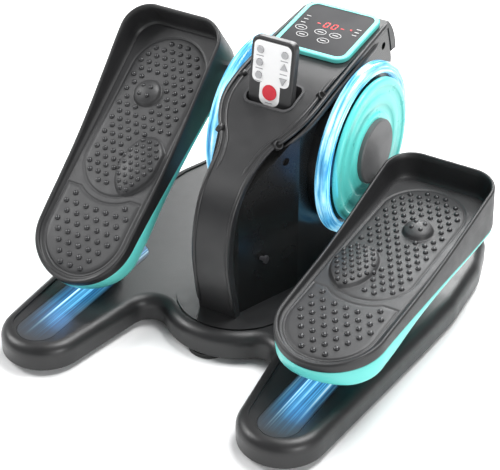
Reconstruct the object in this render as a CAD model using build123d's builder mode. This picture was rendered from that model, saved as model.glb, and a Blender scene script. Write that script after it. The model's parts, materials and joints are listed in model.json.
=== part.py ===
"""Under-desk pedal exerciser: a flat base, a casing with two crank discs, two foot pedals
on rollers, a display and a pocket that holds a remote control.

Frame: +Z up, +Y away from the seated user, +X to the user's right.  The origin is on the
floor, under the middle of the whole machine.
"""
import os
from math import asin, atan2, cos, degrees, hypot, radians, sin

from build123d import *

# ---------------------------------------------------------------- driving dimensions (mm)
FIT = 0.05                # radial clearance of a running fit
GAP = 0.4                 # gap between pieces that move past each other

# base
BASE_LENGTH = 480.0       # front to back
FOOT_HEIGHT = 6.0
BASE_TOP = 36.0           # height of the raised rim and of the front platform
BASE_WALL = 6.0
BASE_ROUND = 13.0         # bulged rim of the cover
WELL_DEPTH = 2.0          # the deck lies this far below the rim
WELL_RIM = 13.0           # width of the rim around the deck
PLATE_THICK = 2.5         # steel plate that closes the base
WING_X = 151.4            # centre of each rounded wing tip
WING_R = 48.7
WING_MID_X = 137.0        # widest stretch of a wing
WING_MID_Y = 80.0
WING_MID_R = 78.7
FLANK_R = 60.0
WING_BACK_X = 150.0
WING_BACK_R = 47.0
NOSE_Y = -32.0            # centre of the round platform under the front strap
NOSE_R = 86.0
NOSE_BLEND = 20.0
PLATFORM_R = 70.0
FOOT_R = 24.0
FOOT_INSET = 48.0         # foot centre in from the ends of the base

# roller tracks
TRACK_X = 153.0
TRACK_WIDTH = 46.0
TRACK_LENGTH = 218.0
TRACK_INSET = 16.0        # track's front end in from the base's front
TRACK_THICK = 3.0

# casing
CASE_HALF = 49.0          # half width of the casing beside the strap
CASE_NECK = 21.0          # half width behind the strap
CASE_WALL = 3.0
CASE_INSET = 4.0          # casing's back in from the base's back
STRAP_THICK = 9.0
STRAP_WALL = 3.0
DRUM_R = 88.0
DRUM_X = 70.0             # outer face of the drum that carries a crank disc

# crank
CRANK_Y = 120.0
CRANK_Z = 170.0
CRANK_THROW = 62.0
CRANK_ANGLE = 11.4        # lean of the left crank forward of upright, degrees
SHAFT_R = 8.5
DISC_R = 84.0
DISC_X = 84.0             # outer face of the disc
DISC_THICK = 7.0
CAP_R = 37.7
CAP_X = 90.0              # outer face of the hub cap
RING_R = 100.0            # light ring round each disc
RING_THICK = 7.0
PIN_BOSS_R = 9.0
BEARING_R = 17.5
BEARING_WIDTH = 11.0
UPRIGHT_X = 34.0          # outer face of each steel upright
UPRIGHT_THICK = 4.0
PULLEY_R = 58.0
PULLEY_WIDTH = 12.0
BELT_THICK = 2.0
BELT_WIDTH = 10.0

# motor
MOTOR_Y = 28.0
MOTOR_Z = 92.0
MOTOR_R = 27.0
MOTOR_LENGTH = 30.0
MOTOR_SHAFT_R = 4.0
MOTOR_PULLEY_R = 14.5

# pedals: u runs from heel to toe, w up from the foot pad
PEDAL_X = 162.0
PEDAL_HEEL_U = -14.0
PEDAL_TOE_U = 322.0
PEDAL_WIDTH = 133.0
HEEL_R = 61.0
TOE_CORNER_R = 34.0
PEDAL_WALL = 4.0
PAD_THICK = 3.0
PIN_U = 290.0
PIN_W = -16.0
PIN_R = 6.0
PIN_LENGTH = 58.0
BUSH_R = 9.0
AXLE_U = 38.0
AXLE_R = 4.0
ROLLER_R = 16.0
ROLLER_WIDTH = 26.0
ROLLER_CLEAR = 5.0         # from the roller up to the middle of the fork's base
FORK_THICK = 6.0
FORK_BASE_W = -33.0        # middle of the fork's base, which lies on the pan's floor
FORK_BASE_THICK = 6.0
FORK_LAP = 8.0             # the base reaches this far past the roller, both ways

# display
PANEL_FRONT_Y = 112.5
PANEL_LENGTH = 97.0
PANEL_WIDTH = 94.0
PANEL_CORNER = 15.0
BEZEL_THICK = 6.0         # how far the bezel stands on the strap
BEZEL_RIM = 5.5
SCREEN_THICK = 2.0
SCREEN_SINK = 0.4

# remote control and its pocket
REMOTE_WIDTH = 54.0
REMOTE_LENGTH = 97.0
REMOTE_THICK = 12.0
REMOTE_LEAN = 8.0         # lean back from upright, degrees
REMOTE_Y = 33.0           # middle of the remote's lower end
REMOTE_BOTTOM_Z = 223.0
REMOTE_ROUND = 3.0
REMOTE_CORNER = 9.0
POCKET_Y = 42.0
POCKET_WIDTH = 57.0
POCKET_LENGTH = 36.0
POCKET_WALL = 2.5
POCKET_CORNER = 9.0
POCKET_LIP = 1.5          # the pocket's rim stands this proud of the strap
KEY_R = 3.9
STOP_R = 8.5
KEY_RISE = 1.4            # above the remote's face
KEY_WELL = 3.4            # depth of each key's well
KEY_TRAVEL = 1.2
KEY_GAP = 0.35
KEY_X = 15.0
KEY_ROWS = (82.5, 68.0, 53.5)
STOP_ROW = 36.5

# ------------------------------------------------------------------------- worked out
BASE_FRONT = -BASE_LENGTH / 2
BASE_BACK = BASE_LENGTH / 2
CASE_BACK = BASE_BACK - CASE_INSET
TRACK_FRONT = BASE_FRONT + TRACK_INSET
TRACK_BACK = TRACK_FRONT + TRACK_LENGTH
WING_Y = BASE_FRONT + WING_R
WING_BACK_Y = BASE_BACK - WING_BACK_R
WING_FLANK = [(208.6, -60), (213.6, 20), (209.5, BASE_BACK - 90)]      # outer side (x, y)
DECK_Z = BASE_TOP - WELL_DEPTH
TRACK_TOP = DECK_Z
ROLLER_AXIS_Z = TRACK_TOP + ROLLER_R
AXLE_W = FORK_BASE_W - ROLLER_CLEAR - ROLLER_R
LINK = hypot(PIN_U - AXLE_U, PIN_W - AXLE_W)
LINK_ANGLE = degrees(atan2(PIN_W - AXLE_W, PIN_U - AXLE_U))
DISC_INNER = DISC_X - DISC_THICK


def crank_pin(side):
    """The rest place (y, z) of a crank pin: left (-1) is up, right (+1) is down."""
    lean = radians(CRANK_ANGLE)
    return CRANK_Y + side * CRANK_THROW * sin(lean), CRANK_Z - side * CRANK_THROW * cos(lean)


def pedal_rest(side):
    """The rest place of a pedal: its roller axle's y and its tilt in degrees."""
    pin_y, pin_z = crank_pin(side)
    slope = asin((pin_z - ROLLER_AXIS_Z) / LINK)
    return pin_y - LINK * cos(slope), degrees(slope) - LINK_ANGLE


def pedal_plane(side):
    """Side plane of a pedal, with u along the foot and w up, at the pedal's middle."""
    axle_y, tilt = pedal_rest(side)
    t = radians(tilt)
    heel_y = axle_y - AXLE_U * cos(t) + AXLE_W * sin(t)
    heel_z = ROLLER_AXIS_Z - AXLE_U * sin(t) - AXLE_W * cos(t)
    return Plane(
        origin=(side * PEDAL_X, heel_y, heel_z),
        x_dir=(0, cos(t), sin(t)),
        z_dir=(1, 0, 0),
    )


def save(piece, label):
    """Names a finished piece and writes it as one STEP file."""
    piece.label = label
    export_step(piece, f"parts/{label}.step")


def side_name(side):
    return "left" if side < 0 else "right"


# ----------------------------------------------------------------------------- outlines
def base_outline(inset):
    """The whole base, drawn in from its edge by inset: two long wings joined at the back,
    and the round platform at the front."""
    with BuildSketch() as outline:
        for side in (-1, 1):
            with BuildSketch(mode=Mode.PRIVATE) as wing:
                with Locations((side * WING_X, WING_Y)):
                    Circle(WING_R)
                with Locations(*[(side * (x - FLANK_R), y) for x, y in WING_FLANK]):
                    Circle(FLANK_R)
                with Locations((side * WING_MID_X, WING_MID_Y)):
                    Circle(WING_MID_R)
                with Locations((side * WING_BACK_X, WING_BACK_Y)):
                    Circle(WING_BACK_R)
                make_hull()
            add(wing.sketch)
        with Locations((0, NOSE_Y)):
            Circle(NOSE_R)
        with Locations((0, (NOSE_Y + BASE_BACK) / 2)):
            Rectangle(2 * WING_BACK_X, BASE_BACK - NOSE_Y)
        notches = outline.vertices().filter_by_position(Axis.Y, NOSE_Y - NOSE_R, NOSE_Y - 1)
        fillet(notches.filter_by_position(Axis.X, -NOSE_R, NOSE_R), NOSE_BLEND)
        if inset:
            offset(amount=-inset, mode=Mode.REPLACE)
    return outline.sketch


STRAP_TOP_END = CASE_BACK - 24.0     # where the straight top meets the rounded back
STRAP_SLOPE = 17 / 112               # rise of the straight top

# Side view of the strap: it stands up from the platform, leans over and runs back to the
# display.  Each point is (y, z) on its outer surface; the last stretch is straight.
STRAP_LINE = [
    (-77, BASE_TOP), (-86, 80), (-90, 118), (-87, 145), (-78, 172), (-62, 193),
    (-30, 214.5), (23, 247), (62, 259.5), (100, 267),
    (STRAP_TOP_END, 267 + STRAP_SLOPE * (STRAP_TOP_END - 100)),
]
# Half width of the strap by height.
STRAP_HALF = [
    (BASE_TOP, 23.5), (186, 23.5), (202, 24.5), (214, 27.5), (224, 33), (232, 42),
    (241, 50), (300, 50),
]


def inward(points, depth):
    """The same line moved square to itself, towards the casing's inside."""
    moved = []
    for i, (y, z) in enumerate(points):
        y0, z0 = points[max(i - 1, 0)]
        y1, z1 = points[min(i + 1, len(points) - 1)]
        run = hypot(y1 - y0, z1 - z0)
        moved.append((y + depth * (z1 - z0) / run, z - depth * (y1 - y0) / run))
    return moved


def side_outline(depth):
    """Side view of the casing, depth inside the strap's outer surface."""
    line = inward(STRAP_LINE, depth)
    line[0] = (line[0][0], BASE_TOP)
    rise = (STRAP_LINE[-1][1] - STRAP_LINE[-2][1]) / (STRAP_LINE[-1][0] - STRAP_LINE[-2][0])
    back = CASE_BACK - depth
    with BuildSketch(Plane.YZ) as outline:
        with BuildLine():
            strap = Spline(*line[:-1], tangents=((-0.15, 1), (1, rise)))
            top = Line(strap @ 1, line[-1])
            corner = ThreePointArc(top @ 1, (back - 7, 262 - depth / 2), (back, 236 - depth / 2))
            Polyline(corner @ 1, (back, BASE_TOP), strap @ 0)
        make_face()
    return outline.sketch


def strap_front(inset):
    """Front view of the strap, drawn in from its edges by inset."""
    right = [(half - inset, z) for z, half in STRAP_HALF]
    left = [(-x, z) for x, z in reversed(right)]
    with BuildSketch(Plane.XZ) as outline:
        with BuildLine():
            Polyline(*right, *left, close=True)
        make_face()
    return outline.sketch


def case_plan(side, inset):
    """Plan of one casing half, drawn in from its outer wall by inset."""
    half = CASE_HALF - inset
    neck = CASE_NECK - inset
    front_y = NOSE_Y - NOSE_R
    back_y = BASE_BACK + 20
    with BuildSketch() as outline:
        with BuildLine():
            front = Line((0, front_y), (side * neck, front_y))
            rise = Line(front @ 1, (side * neck, -66))
            flare = ThreePointArc(rise @ 1, (side * (neck + 13), -28), (side * half, 14))
            Polyline(flare @ 1, (side * half, back_y), (0, back_y), front @ 0)
        make_face()
    return outline.sketch


def remote_plane(along=0.0, out=0.0):
    """Plane of the remote: x across, y up along it, z out of its face."""
    lean = radians(REMOTE_LEAN)
    up = Vector(0, sin(lean), cos(lean))
    face = Vector(0, -cos(lean), sin(lean))
    origin = Vector(0, REMOTE_Y, REMOTE_BOTTOM_Z) + up * along + face * out
    return Plane(origin=origin, x_dir=(1, 0, 0), z_dir=face)


def panel_plane(rise=0.0):
    """Plane of the display's face, its origin at the middle, on the strap's straight top."""
    y0, z0 = STRAP_LINE[-2]
    y1, z1 = STRAP_LINE[-1]
    run = hypot(y1 - y0, z1 - z0)
    along = Vector(0, (y1 - y0) / run, (z1 - z0) / run)
    normal = Vector(0, -along.Z, along.Y)
    start = Vector(0, PANEL_FRONT_Y, z0 + (PANEL_FRONT_Y - y0) * (z1 - z0) / (y1 - y0))
    middle = start + along * (PANEL_LENGTH / 2) + normal * (BEZEL_THICK + rise)
    return Plane(origin=middle, x_dir=(1, 0, 0), z_dir=normal)


os.makedirs("parts", exist_ok=True)

# --------------------------------------------------------------------------------- base
POST_Y = (60.0, 180.0)    # the steel uprights pass through the cover between these
BRACKET_HALF = 15.0       # half the motor bracket's depth

with BuildPart() as base_cover:
    with BuildSketch(Plane.XY.offset(FOOT_HEIGHT)):
        add(base_outline(0))
    extrude(amount=BASE_TOP - FOOT_HEIGHT)
    fillet(base_cover.faces().sort_by(Axis.Z)[-1].edges(), BASE_ROUND)
    fillet(base_cover.faces().sort_by(Axis.Z)[0].edges(), BASE_WALL / 2)
    with BuildSketch(Plane.XY.offset(FOOT_HEIGHT)):
        add(base_outline(BASE_WALL))
    extrude(amount=DECK_Z - BASE_WALL + 1 - FOOT_HEIGHT, mode=Mode.SUBTRACT)
    with BuildSketch(Plane.XY.offset(DECK_Z)):
        add(base_outline(WELL_RIM))
        with Locations((0, NOSE_Y)):
            Circle(PLATFORM_R, mode=Mode.SUBTRACT)
        with Locations((0, (NOSE_Y + CASE_BACK) / 2)):
            Rectangle(2 * CASE_HALF + 4, CASE_BACK - NOSE_Y, mode=Mode.SUBTRACT)
    extrude(amount=WELL_DEPTH + 1, mode=Mode.SUBTRACT)
    with BuildSketch(Plane.XY.offset(DECK_Z)):
        with Locations(*[(side * TRACK_X, (TRACK_FRONT + TRACK_BACK) / 2) for side in (-1, 1)]):
            SlotOverall(TRACK_BACK - TRACK_FRONT + 1, TRACK_WIDTH + 1, rotation=90)
    extrude(amount=-TRACK_THICK, mode=Mode.SUBTRACT)
    with BuildSketch(Plane.XY.offset(FOOT_HEIGHT)):
        with Locations((0, (MOTOR_Y - BRACKET_HALF + POST_Y[1]) / 2)):
            Rectangle(2 * (CASE_HALF - 8), POST_Y[1] - MOTOR_Y + BRACKET_HALF + 4)
    extrude(amount=BASE_TOP, mode=Mode.SUBTRACT)
save(base_cover.part, "base_cover")

FOOT_PLACES = [
    (0, NOSE_Y - NOSE_R + FOOT_R), (-WING_X, BASE_FRONT + FOOT_INSET), (WING_X, BASE_FRONT + FOOT_INSET),
    (-WING_BACK_X, BASE_BACK - FOOT_INSET), (WING_BACK_X, BASE_BACK - FOOT_INSET),
]
SCREW_R = 2.5
SCREW_HEAD_R = 5.0

with BuildPart() as base_plate:
    with BuildSketch(Plane.XY.offset(FOOT_HEIGHT)):
        add(base_outline(BASE_WALL + GAP))
        with Locations(*FOOT_PLACES):
            Circle(SCREW_R + GAP / 2, mode=Mode.SUBTRACT)
    extrude(amount=PLATE_THICK)
save(base_plate.part, "base_plate")

with BuildPart() as rubber_feet:
    with BuildSketch():
        with Locations(*FOOT_PLACES):
            Circle(FOOT_R)
            Circle(SCREW_HEAD_R + GAP, mode=Mode.SUBTRACT)
    extrude(amount=FOOT_HEIGHT)
    fillet(rubber_feet.edges().filter_by(GeomType.CIRCLE).group_by(Axis.Z)[0]
           .filter_by(lambda edge: edge.radius > FOOT_R / 2), 2)
save(rubber_feet.part, "rubber_feet")

with BuildPart() as foot_screws:
    with BuildSketch(Plane.XY.offset(1.0)):
        with Locations(*FOOT_PLACES):
            Circle(SCREW_HEAD_R)
    extrude(amount=FOOT_HEIGHT - 1.0)
    with BuildSketch(Plane.XY.offset(FOOT_HEIGHT)):
        with Locations(*FOOT_PLACES):
            Circle(SCREW_R)
    extrude(amount=10)
save(foot_screws.part, "foot_screws")

for side in (-1, 1):
    with BuildPart() as track:
        with BuildSketch(Plane.XY.offset(DECK_Z - TRACK_THICK)):
            with Locations((side * TRACK_X, (TRACK_FRONT + TRACK_BACK) / 2)):
                SlotOverall(TRACK_BACK - TRACK_FRONT, TRACK_WIDTH, rotation=90)
        extrude(amount=TRACK_THICK)
    save(track.part, f"track_{side_name(side)}")

# -------------------------------------------------------------------------- steel frame
FLANGE_Z = FOOT_HEIGHT + PLATE_THICK
FLANGE_OUT = 24.0
BOLT_R = 3.0

for side in (-1, 1):
    inner_x = side * (UPRIGHT_X - UPRIGHT_THICK)
    with BuildPart() as upright:
        with BuildSketch(Plane.YZ.offset(inner_x)):
            with BuildLine():
                Polyline(
                    (POST_Y[0], FLANGE_Z), (POST_Y[1], FLANGE_Z),
                    (CRANK_Y + 26, CRANK_Z), (CRANK_Y - 26, CRANK_Z), close=True,
                )
            make_face()
            with Locations((CRANK_Y, CRANK_Z)):
                Circle(BEARING_R + 9)
                Circle(BEARING_R, mode=Mode.SUBTRACT)
        extrude(amount=side * UPRIGHT_THICK)
        with BuildSketch(Plane.XY.offset(FLANGE_Z)):
            with Locations((side * (UPRIGHT_X - FLANGE_OUT / 2), CRANK_Y)):
                Rectangle(FLANGE_OUT, POST_Y[1] - POST_Y[0])
        extrude(amount=UPRIGHT_THICK)
        with Locations(*[
            Location((side * (UPRIGHT_X - FLANGE_OUT + 7), y, FLANGE_Z + UPRIGHT_THICK))
            for y in (POST_Y[0] + 12, POST_Y[1] - 12)
        ]):
            Hole(BOLT_R + 0.3, depth=UPRIGHT_THICK)
    save(upright.part, f"frame_upright_{side_name(side)}")

    with BuildPart() as bearing:
        middle = side * (UPRIGHT_X - UPRIGHT_THICK / 2)
        with BuildSketch(Plane.YZ.offset(middle - BEARING_WIDTH / 2)):
            with Locations((CRANK_Y, CRANK_Z)):
                Circle(BEARING_R)
                Circle(SHAFT_R + FIT, mode=Mode.SUBTRACT)
        extrude(amount=BEARING_WIDTH)
    save(bearing.part, f"bearing_{side_name(side)}")

FRAME_BOLTS = [
    (side * (UPRIGHT_X - FLANGE_OUT + 7), y)
    for side in (-1, 1) for y in (POST_Y[0] + 12, POST_Y[1] - 12)
]
with BuildPart() as frame_bolts:
    with BuildSketch(Plane.XY.offset(FLANGE_Z)):
        with Locations(*FRAME_BOLTS):
            Circle(BOLT_R)
    extrude(amount=UPRIGHT_THICK)
    with BuildSketch(Plane.XY.offset(FLANGE_Z + UPRIGHT_THICK)):
        with Locations(*FRAME_BOLTS):
            RegularPolygon(5.5, 6)
    extrude(amount=4)
save(frame_bolts.part, "frame_bolts")

# --------------------------------------------------------------------------------- crank
with BuildPart() as crankshaft:
    shaft_half = CAP_X - 5
    with BuildSketch(Plane.YZ.offset(-shaft_half)):
        with Locations((CRANK_Y, CRANK_Z)):
            Circle(SHAFT_R)
    extrude(amount=2 * shaft_half)
save(crankshaft.part, "crankshaft")

for side in (-1, 1):
    pin_y, pin_z = crank_pin(side)
    with BuildPart() as disc:
        with BuildSketch(Plane.YZ.offset(side * DISC_INNER)):
            with Locations((CRANK_Y, CRANK_Z)):
                Circle(DISC_R)
                Circle(SHAFT_R, mode=Mode.SUBTRACT)
            with Locations((pin_y, pin_z)):
                Circle(PIN_R, mode=Mode.SUBTRACT)
        extrude(amount=side * DISC_THICK)
        rims = disc.edges().filter_by(GeomType.CIRCLE).group_by(Axis.X)[0 if side < 0 else -1]
        chamfer(rims.filter_by(lambda edge: edge.radius > DISC_R - 1), 2.5)
    save(disc.part, f"crank_disc_{side_name(side)}")

    with BuildPart() as cap:
        with BuildSketch(Plane.YZ.offset(side * DISC_X)):
            with Locations((CRANK_Y, CRANK_Z)):
                Circle(CAP_R)
        extrude(amount=side * (CAP_X - DISC_X))
        rims = cap.edges().filter_by(GeomType.CIRCLE).group_by(Axis.X)[0 if side < 0 else -1]
        chamfer(rims, 1.5)
        with BuildSketch(Plane.YZ.offset(side * DISC_X)):
            with Locations((CRANK_Y, CRANK_Z)):
                Circle(SHAFT_R)
        extrude(amount=side * (CAP_X - 5 - DISC_X), mode=Mode.SUBTRACT)
    save(cap.part, f"hub_cap_{side_name(side)}")

with BuildPart() as crank_pins:
    for side in (-1, 1):
        with BuildSketch(Plane.YZ.offset(side * DISC_INNER)):
            with Locations(crank_pin(side)):
                Circle(PIN_R)
        extrude(amount=side * (CAP_X - DISC_INNER))
        with BuildSketch(Plane.YZ.offset(side * DISC_X)):
            with Locations(crank_pin(side)):
                Circle(PIN_BOSS_R)
        extrude(amount=side * (CAP_X - DISC_X))
save(crank_pins.part, "crank_pins")

with BuildPart() as driven_pulley:
    with BuildSketch(Plane.YZ.offset(-PULLEY_WIDTH / 2)):
        with Locations((CRANK_Y, CRANK_Z)):
            Circle(PULLEY_R + 3)
            Circle(SHAFT_R, mode=Mode.SUBTRACT)
            with PolarLocations(PULLEY_R * 0.6, 5):
                Circle(PULLEY_R * 0.2, mode=Mode.SUBTRACT)
    extrude(amount=PULLEY_WIDTH)
    with BuildSketch(Plane.YZ.offset(-BELT_WIDTH / 2 - GAP)):
        with Locations((CRANK_Y, CRANK_Z)):
            Circle(PULLEY_R + 4)
            Circle(PULLEY_R, mode=Mode.SUBTRACT)
    extrude(amount=BELT_WIDTH + 2 * GAP, mode=Mode.SUBTRACT)
save(driven_pulley.part, "driven_pulley")

# --------------------------------------------------------------------------------- drive
with BuildPart() as motor_pulley:
    with BuildSketch(Plane.YZ.offset(-PULLEY_WIDTH / 2)):
        with Locations((MOTOR_Y, MOTOR_Z)):
            Circle(MOTOR_PULLEY_R + 2)
    extrude(amount=PULLEY_WIDTH)
    with BuildSketch(Plane.YZ.offset(-BELT_WIDTH / 2 - GAP)):
        with Locations((MOTOR_Y, MOTOR_Z)):
            Circle(MOTOR_PULLEY_R + 3)
            Circle(MOTOR_PULLEY_R, mode=Mode.SUBTRACT)
    extrude(amount=BELT_WIDTH + 2 * GAP, mode=Mode.SUBTRACT)
    with BuildSketch(Plane.YZ.offset(PULLEY_WIDTH / 2)):
        with Locations((MOTOR_Y, MOTOR_Z)):
            Circle(MOTOR_SHAFT_R)
    extrude(amount=16)
save(motor_pulley.part, "motor_pulley")

MOTOR_X = PULLEY_WIDTH / 2 + 3.0
with BuildPart() as motor:
    with BuildSketch(Plane.YZ.offset(MOTOR_X)):
        with Locations((MOTOR_Y, MOTOR_Z)):
            Circle(MOTOR_R)
    extrude(amount=MOTOR_LENGTH)
    fillet(motor.edges().filter_by(GeomType.CIRCLE), 2)
    with BuildSketch(Plane.YZ.offset(MOTOR_X)):
        with Locations((MOTOR_Y, MOTOR_Z)):
            Circle(MOTOR_SHAFT_R + FIT)
    extrude(amount=MOTOR_LENGTH / 2, mode=Mode.SUBTRACT)
save(motor.part, "motor")

with BuildPart() as motor_bracket:
    with BuildSketch(Plane.XZ.offset(-MOTOR_Y)):
        with BuildLine():
            Polyline(
                (MOTOR_X, FLANGE_Z), (MOTOR_X + MOTOR_LENGTH, FLANGE_Z),
                (MOTOR_X + MOTOR_LENGTH, MOTOR_Z), (MOTOR_X, MOTOR_Z), close=True,
            )
        make_face()
    extrude(amount=BRACKET_HALF, both=True)
    with BuildSketch(Plane.YZ.offset(MOTOR_X)):
        with Locations((MOTOR_Y, MOTOR_Z)):
            Circle(MOTOR_R)
        with Locations((MOTOR_Y, (FLANGE_Z + MOTOR_Z - MOTOR_R) / 2)):
            Rectangle(18, MOTOR_Z - MOTOR_R - FLANGE_Z - 12)
    extrude(amount=MOTOR_LENGTH, mode=Mode.SUBTRACT)
save(motor_bracket.part, "motor_bracket")


def belt_loop(grow):
    """Outline of the belt around both pulleys, grown outward."""
    with BuildSketch() as loop:
        with Locations((CRANK_Y, CRANK_Z)):
            Circle(PULLEY_R + GAP + grow)
        with Locations((MOTOR_Y, MOTOR_Z)):
            Circle(MOTOR_PULLEY_R + GAP + grow)
        make_hull()
    return loop.sketch


with BuildPart() as drive_belt:
    with BuildSketch(Plane.YZ.offset(-BELT_WIDTH / 2)):
        add(belt_loop(BELT_THICK))
        add(belt_loop(0), mode=Mode.SUBTRACT)
    extrude(amount=BELT_WIDTH)
save(drive_belt.part, "drive_belt")

with BuildPart() as control_board:
    with BuildSketch(Plane.YZ.offset(-28)):
        with Locations((MOTOR_Y - 5, MOTOR_Z - 12)):
            Rectangle(56, 60)
    extrude(amount=1.6)
    with BuildSketch(Plane.YZ.offset(-28 + 1.6)):
        with Locations((MOTOR_Y - 15, MOTOR_Z - 20)):
            Rectangle(24, 20)
        with Locations((MOTOR_Y + 18, MOTOR_Z - 6)):
            Circle(6)
    extrude(amount=10)
save(control_board.part, "control_board")

# -------------------------------------------------------------------------------- casing
SEAM = STRAP_THICK + 0.3
CASE_SCREWS = [(67, 241), (-4, 205), (205, 255), (-36, 96), (205, 60)]
CASE_SCREW_R = 2.5
CASE_SCREW_HEAD_R = 4.5
CASE_SCREW_HEAD_X = 36.0
CASE_BOSS_R = 8.0
INLET_X = 36.0
INLET_Z = 70.0
INLET_R = 6.0
POCKET_FLOOR = REMOTE_BOTTOM_Z - REMOTE_THICK / 2 * sin(radians(REMOTE_LEAN)) - GAP


def case_form(side, inset):
    """One casing half as a solid form, drawn in from its outer wall by inset."""
    with BuildPart() as form:
        add(extrude(side_outline(SEAM + inset), amount=side * (CASE_HALF - inset), mode=Mode.PRIVATE))
        add(extrude(case_plan(side, inset), amount=400, mode=Mode.PRIVATE), mode=Mode.INTERSECT)
        with BuildSketch(Plane.YZ.offset(side * CASE_HALF / 2)):
            with Locations((CRANK_Y, CRANK_Z)):
                Circle(DRUM_R - inset)
        extrude(amount=side * (DRUM_X - inset - CASE_HALF / 2))
    return form.part


def pocket_hole(grow):
    """Plan of the remote's pocket, grown outward from its inner wall."""
    with BuildSketch() as hole:
        with Locations((0, POCKET_Y)):
            RectangleRounded(
                POCKET_WIDTH + 2 * grow, POCKET_LENGTH + 2 * grow, POCKET_CORNER + grow
            )
    return hole.sketch


for side in (-1, 1):
    with BuildPart() as bosses:
        with BuildSketch(Plane.YZ):
            with Locations(*CASE_SCREWS):
                Circle(CASE_BOSS_R)
        extrude(amount=side * CASE_HALF)
        add(case_form(side, 0), mode=Mode.INTERSECT)

    with BuildPart() as casing:
        add(case_form(side, 0))
        add(case_form(side, CASE_WALL), mode=Mode.SUBTRACT)
        add(bosses.part)
        with BuildSketch(Plane.YZ.offset(-CASE_HALF)):
            with Locations(*CASE_SCREWS):
                Circle(CASE_SCREW_R)
        extrude(amount=CASE_HALF + (20 if side < 0 else 0), mode=Mode.SUBTRACT)
        if side > 0:
            with BuildSketch(Plane.YZ):
                with Locations(*CASE_SCREWS):
                    Circle(CASE_SCREW_R)
            extrude(amount=CASE_HALF, mode=Mode.SUBTRACT)
            with BuildSketch(Plane.YZ.offset(CASE_SCREW_HEAD_X)):
                with Locations(*CASE_SCREWS):
                    Circle(CASE_SCREW_HEAD_R)
            extrude(amount=CASE_HALF, mode=Mode.SUBTRACT)
            with BuildSketch(Plane.XZ.offset(-CASE_BACK - 5)):
                with Locations((INLET_X, INLET_Z)):
                    Circle(INLET_R)
            extrude(amount=30, mode=Mode.SUBTRACT)
        with BuildSketch(Plane.YZ.offset(side * CASE_HALF / 2)):
            with Locations((CRANK_Y, CRANK_Z)):
                Circle(SHAFT_R + 2)
        extrude(amount=side * DRUM_X, mode=Mode.SUBTRACT)
        with BuildSketch(Plane.XY.offset(POCKET_FLOOR - POCKET_WALL - GAP)):
            add(pocket_hole(POCKET_WALL + GAP))
        extrude(amount=100, mode=Mode.SUBTRACT)
    save(casing.part, f"casing_{side_name(side)}")

    with BuildPart() as light_ring:
        with BuildSketch(Plane.YZ.offset(side * (DRUM_X - RING_THICK))):
            with Locations((CRANK_Y, CRANK_Z)):
                Circle(RING_R)
                Circle(DRUM_R, mode=Mode.SUBTRACT)
        extrude(amount=side * 2 * RING_THICK)
        rims = light_ring.edges().filter_by(GeomType.CIRCLE)
        fillet(rims.filter_by(lambda edge: edge.radius > RING_R - 1), 4)
    save(light_ring.part, f"light_ring_{side_name(side)}")

with BuildPart() as casing_screws:
    with BuildSketch(Plane.YZ.offset(-20)):
        with Locations(*CASE_SCREWS):
            Circle(CASE_SCREW_R)
    extrude(amount=CASE_SCREW_HEAD_X + 20)
    with BuildSketch(Plane.YZ.offset(CASE_SCREW_HEAD_X)):
        with Locations(*CASE_SCREWS):
            Circle(CASE_SCREW_HEAD_R)
    extrude(amount=3)
save(casing_screws.part, "casing_screws")

with BuildPart() as power_inlet:
    with BuildSketch(Plane.XZ.offset(-(CASE_BACK - SEAM))):
        with Locations((INLET_X, INLET_Z)):
            Circle(INLET_R + 2.5)
    extrude(amount=-2)
    with BuildSketch(Plane.XZ.offset(-(CASE_BACK - SEAM))):
        with Locations((INLET_X, INLET_Z)):
            Circle(INLET_R)
    extrude(amount=14)
    with BuildSketch(Plane.XZ.offset(-(CASE_BACK - SEAM + 2))):
        with Locations((INLET_X, INLET_Z)):
            Circle(INLET_R / 2)
            Circle(1.0, mode=Mode.SUBTRACT)
    extrude(amount=11, mode=Mode.SUBTRACT)
save(power_inlet.part, "power_inlet")

# --------------------------------------------------------------------- strap and display


def strap_form(outer, inner, inset):
    """A layer of the strap between two depths, drawn in from its edges by inset."""
    with BuildPart() as form:
        add(extrude(side_outline(outer), amount=CASE_HALF + 2, both=True, mode=Mode.PRIVATE))
        add(extrude(side_outline(inner), amount=CASE_HALF + 2, both=True, mode=Mode.PRIVATE),
            mode=Mode.SUBTRACT)
        add(extrude(strap_front(inset), amount=400, both=True, mode=Mode.PRIVATE),
            mode=Mode.INTERSECT)
    return form.part


with BuildPart() as strap_cover:
    add(strap_form(0, STRAP_THICK, 0))
    add(strap_form(STRAP_WALL, STRAP_THICK + 1, STRAP_WALL), mode=Mode.SUBTRACT)
    with BuildSketch(Plane.XY.offset(POCKET_FLOOR)):
        add(pocket_hole(POCKET_WALL))
    extrude(amount=100, mode=Mode.SUBTRACT)
save(strap_cover.part, "strap_cover")

with BuildPart() as pocket_liner:
    with BuildSketch(Plane.XY.offset(POCKET_FLOOR - POCKET_WALL)):
        add(pocket_hole(POCKET_WALL))
    extrude(amount=100)
    add(extrude(side_outline(-POCKET_LIP), amount=CASE_HALF, both=True, mode=Mode.PRIVATE),
        mode=Mode.INTERSECT)
    with BuildSketch(Plane.XY.offset(POCKET_FLOOR)):
        add(pocket_hole(0))
    extrude(amount=100, mode=Mode.SUBTRACT)
save(pocket_liner.part, "pocket_liner")

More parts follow.
